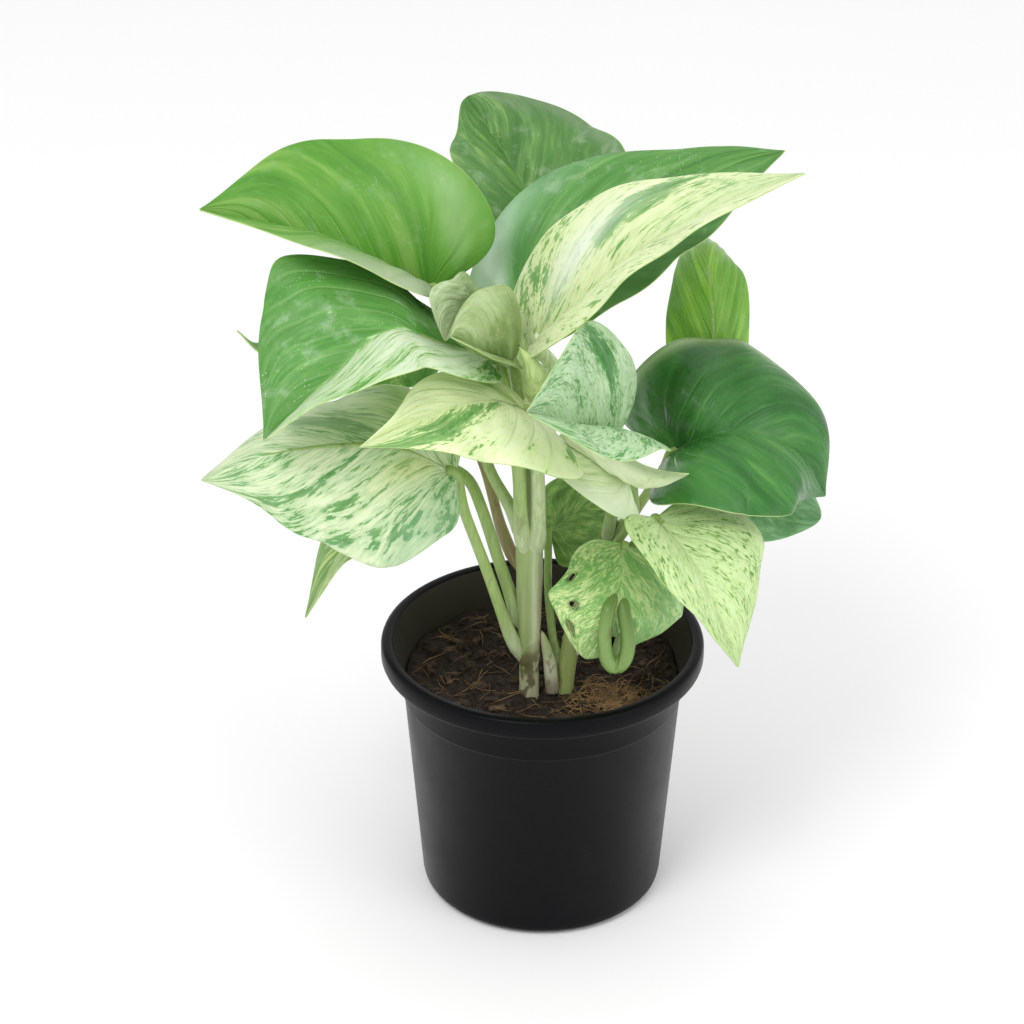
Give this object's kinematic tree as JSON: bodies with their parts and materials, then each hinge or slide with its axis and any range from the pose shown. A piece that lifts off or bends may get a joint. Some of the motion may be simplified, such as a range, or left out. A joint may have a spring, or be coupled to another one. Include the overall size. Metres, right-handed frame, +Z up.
{
  "type": "potted pothos plant",
  "caption": "Young marble-leaved pothos with heart-shaped variegated leaves on upright stems, in a round black nursery pot.",
  "frame": {"origin": "centre of the pot's underside, on the surface that the pot stands on", "axes": "+Z up along the pot's axis, -Y towards the front of the picture, +X to its right"},
  "size_m": [0.2202, 0.2004, 0.3183],
  "materials": {
    "pot_plastic": "satin",
    "potting_mix": "matte",
    "stem_main": "satin",
    "stem_right": "satin",
    "sheath": "satin",
    "new_leaf": "satin",
    "leaf_upper_left": "satin",
    "leaf_top_back": "satin",
    "leaf_upper_right_green": "satin",
    "leaf_upper_right_cream": "satin",
    "leaf_left_green": "satin",
    "leaf_lower_left": "satin",
    "leaf_hanging": "satin",
    "leaf_front_cream": "satin",
    "leaf_centre_speckled": "satin",
    "leaf_folded_pale": "satin",
    "leaf_right_speckled": "satin",
    "leaf_right_dark": "satin",
    "leaf_right_upright": "satin",
    "leaf_right_under": "satin",
    "leaf_low_torn": "satin",
    "leaf_inner_shaded": "satin",
    "leaf_young_small": "satin",
    "leaf_young_cupped": "satin",
    "leaf_left_behind": "satin"
  },
  "bodies": {
    "root": {"pot": "pot_plastic", "potting_mix": "potting_mix", "stem_main": "stem_main", "stem_right": "stem_right", "sheath_curled": "sheath", "new_leaf_spike": "new_leaf", "leaf_upper_left": "leaf_upper_left", "leaf_top_back": "leaf_top_back", "leaf_upper_right_green": "leaf_upper_right_green", "leaf_upper_right_cream": "leaf_upper_right_cream", "leaf_left_green": "leaf_left_green", "leaf_lower_left": "leaf_lower_left", "leaf_hanging": "leaf_hanging", "leaf_front_cream": "leaf_front_cream", "leaf_centre_speckled": "leaf_centre_speckled", "leaf_folded_pale": "leaf_folded_pale", "leaf_right_speckled": "leaf_right_speckled", "leaf_right_dark": "leaf_right_dark", "leaf_right_upright": "leaf_right_upright", "leaf_right_under": "leaf_right_under", "leaf_low_torn": "leaf_low_torn", "leaf_inner_shaded": "leaf_inner_shaded", "leaf_young_small": "leaf_young_small", "leaf_young_cupped": "leaf_young_cupped", "leaf_left_behind": "leaf_left_behind"}
  },
  "joints": []
}
